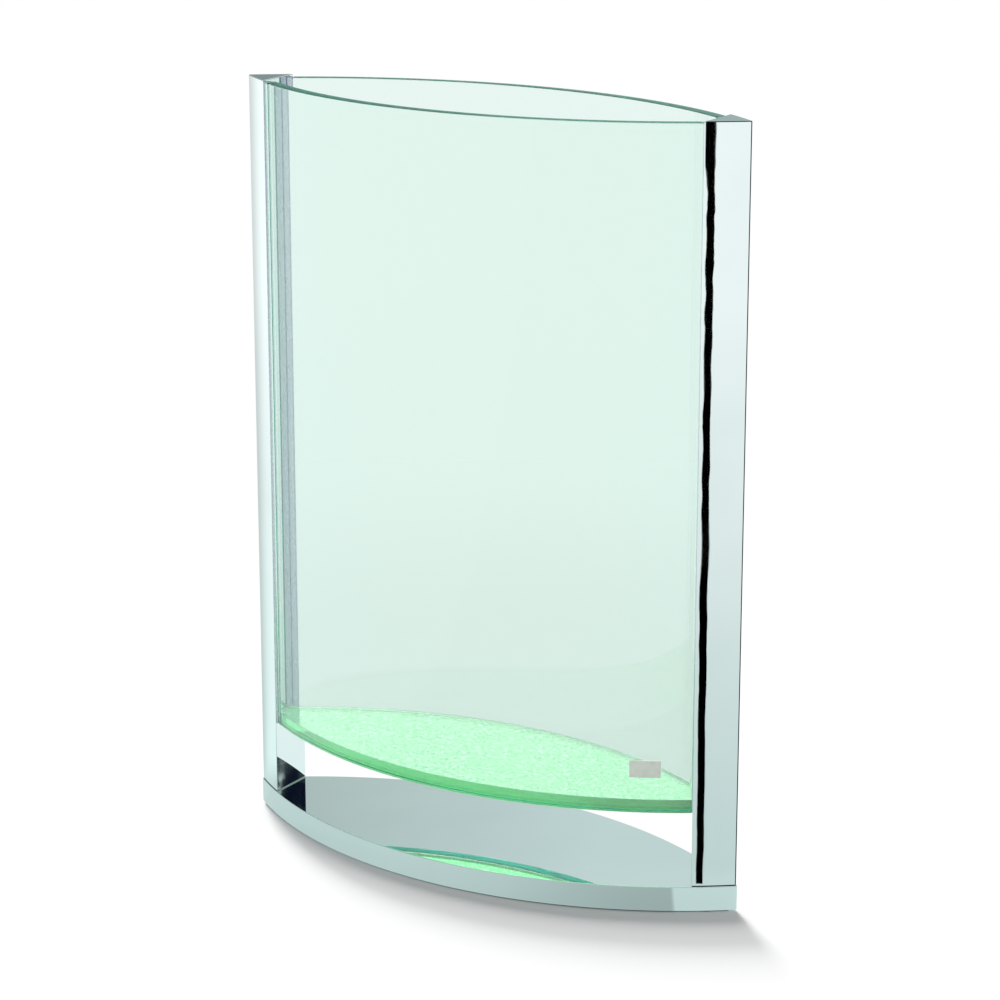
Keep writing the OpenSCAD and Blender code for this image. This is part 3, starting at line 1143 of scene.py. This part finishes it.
studio = {
    "soft": 0.50,                     # even light from all round
    "key": 2.2,                       # glass also sees a broad pale wall behind, to the left
    "keyFrom": Vector((-0.30, 0.80, 0.52)).normalized(),
    "keyReach": (0.50, 0.95),         # cosines of its outer and inner edge
    "white": (1, 1, 1),
    "seenThrough": (0.90, 0.95, 0.945),
    "whiteBelow": (0.02, 0.12),       # up to this rise, glass sees plain white
    "horizon": (0.30, 0.38, 0.38),    # what polished faces see of the room
    "walls": (0.49, 0.60, 0.59),
    "gap": (0.14, 0.17, 0.17),
    "overhead": (0.80, 0.86, 0.86),
    "rises": ((0.0, "horizon"), (0.17, "horizon"), (0.34, "walls"), (0.58, "walls"),
              (0.74, "gap"), (0.82, "gap"), (0.88, "overhead")),
    "flash": (0.40, 0.64),            # rise of a white card right at the back
    "flashTurn": (2.84, 2.90),
    "rightwards": (0.80, 1.22),       # the back of the room grows paler from left to right
    "rightwardsFrom": (-0.58, -0.46),
    "backStart": 0.3,
    "backSoft": 0.2,
    "cardTurn": (2.25, 2.85),         # a dark card at the back on the right
    "cardRise": (0.29, 0.52),
    "card": (0.004, 0.007, 0.018),
    "cardRagged": 0.10,
    "cardRaggedScale": 14,
    "fleckScale": 240,                # pale flecks in the dark card
    "flecks": (0.61, 0.63),
}


def makeWorld():
    world = bpy.data.worlds.new("studio")
    scene.world = world
    world.use_nodes = True
    tree = world.node_tree
    tree.nodes.clear()
    direction = tree.nodes.new("ShaderNodeTexCoord").outputs["Generated"]
    x, y, z = axes(tree, direction)
    path = tree.nodes.new("ShaderNodeLightPath").outputs

    towardsKey = addNode(tree, "ShaderNodeVectorMath", {0: direction, 1: studio["keyFrom"]},
                         operation="DOT_PRODUCT").outputs["Value"]
    inKey = spread(tree, towardsKey, *studio["keyReach"], 0.0, 1.0, True)
    light = maths(tree, "MULTIPLY_ADD", inKey, studio["key"], studio["soft"])
    low = spread(tree, z, *studio["whiteBelow"], 1.0, 0.0)
    through = maths(tree, "ADD", product(tree, low, 1.0 - studio["soft"]), light)

    room = ramp(tree, z, [(rise, studio[name]) for rise, name in studio["rises"]])
    turn = maths(tree, "ARCTAN2", x, product(tree, y, -1.0))
    paler = spread(tree, x, *studio["rightwardsFrom"], *studio["rightwards"])
    behind = between(tree, y, studio["backStart"], 2.0, studio["backSoft"])   # y never reaches 2
    room = blended(tree, behind, room, scaled(tree, room, paler))
    atBack = spread(tree, maths(tree, "ABSOLUTE", turn), *studio["flashTurn"], 0.0, 1.0)
    atBack = product(tree, atBack, between(tree, z, *studio["flash"]))
    room = blended(tree, atBack, room, studio["white"])
    ragged = maths(tree, "SUBTRACT", noise(tree, direction, studio["cardRaggedScale"], 4), 0.5)
    raggedRise = maths(tree, "MULTIPLY_ADD", ragged, studio["cardRagged"], z)
    flecks = noise(tree, direction, studio["fleckScale"], 3)
    inCard = product(tree, between(tree, turn, *studio["cardTurn"]),
                     between(tree, raggedRise, *studio["cardRise"], 0.01),
                     spread(tree, flecks, *studio["flecks"], 1.0, 0.0))
    room = blended(tree, inCard, room, studio["card"])

    def background(colour, strength):
        names = {"Color": asColour(colour), "Strength": strength}
        return addNode(tree, "ShaderNodeBackground", names).outputs[0]

    lit = background(studio["white"], studio["soft"])
    seenThrough = background(studio["seenThrough"], through)
    mirrored = background(room, 1.0)
    white = background(studio["white"], 1.0)
    world.cycles.sampling_method = "NONE"
    # a ray through glass is glossy too, so the glossy look comes first
    result = lit
    for ray, look in (("Glossy", mirrored), ("Transmission", seenThrough), ("Camera", white)):
        names = {0: path["Is %s Ray" % ray], 1: result, 2: look}
        result = addNode(tree, "ShaderNodeMixShader", names).outputs[0]
    output = tree.nodes.new("ShaderNodeOutputWorld")
    tree.links.new(result, output.inputs["Surface"])


makeWorld()
print("light")


# Camera

view = {
    "azimuth": math.radians(31.56),
    "elevation": math.radians(15.77),
    "distance": 1.5,
    "sensor": 36,              # millimetres, as the lens is
    "lens": 114.7,
    "target": Vector((0.0059, 0.0, 0.1799)),
}


def makeCamera():
    data = bpy.data.cameras.new("camera")
    data.sensor_width = view["sensor"]
    data.lens = view["lens"]
    turn, rise = view["azimuth"], view["elevation"]
    back = Vector((math.sin(turn) * math.cos(rise), -math.cos(turn) * math.cos(rise), math.sin(rise)))
    camera = newObject("camera", data)
    camera.location = view["target"] + back * view["distance"]
    camera.rotation_euler = back.to_track_quat("Z", "Y").to_euler()
    scene.camera = camera


makeCamera()
scene.view_settings.view_transform = "Standard"
scene.cycles.blur_glossy = 0
bounces = 96    # light has to find its way along the panes
scene.cycles.max_bounces = bounces
scene.cycles.glossy_bounces = bounces
scene.cycles.transmission_bounces = bounces
print("camera")
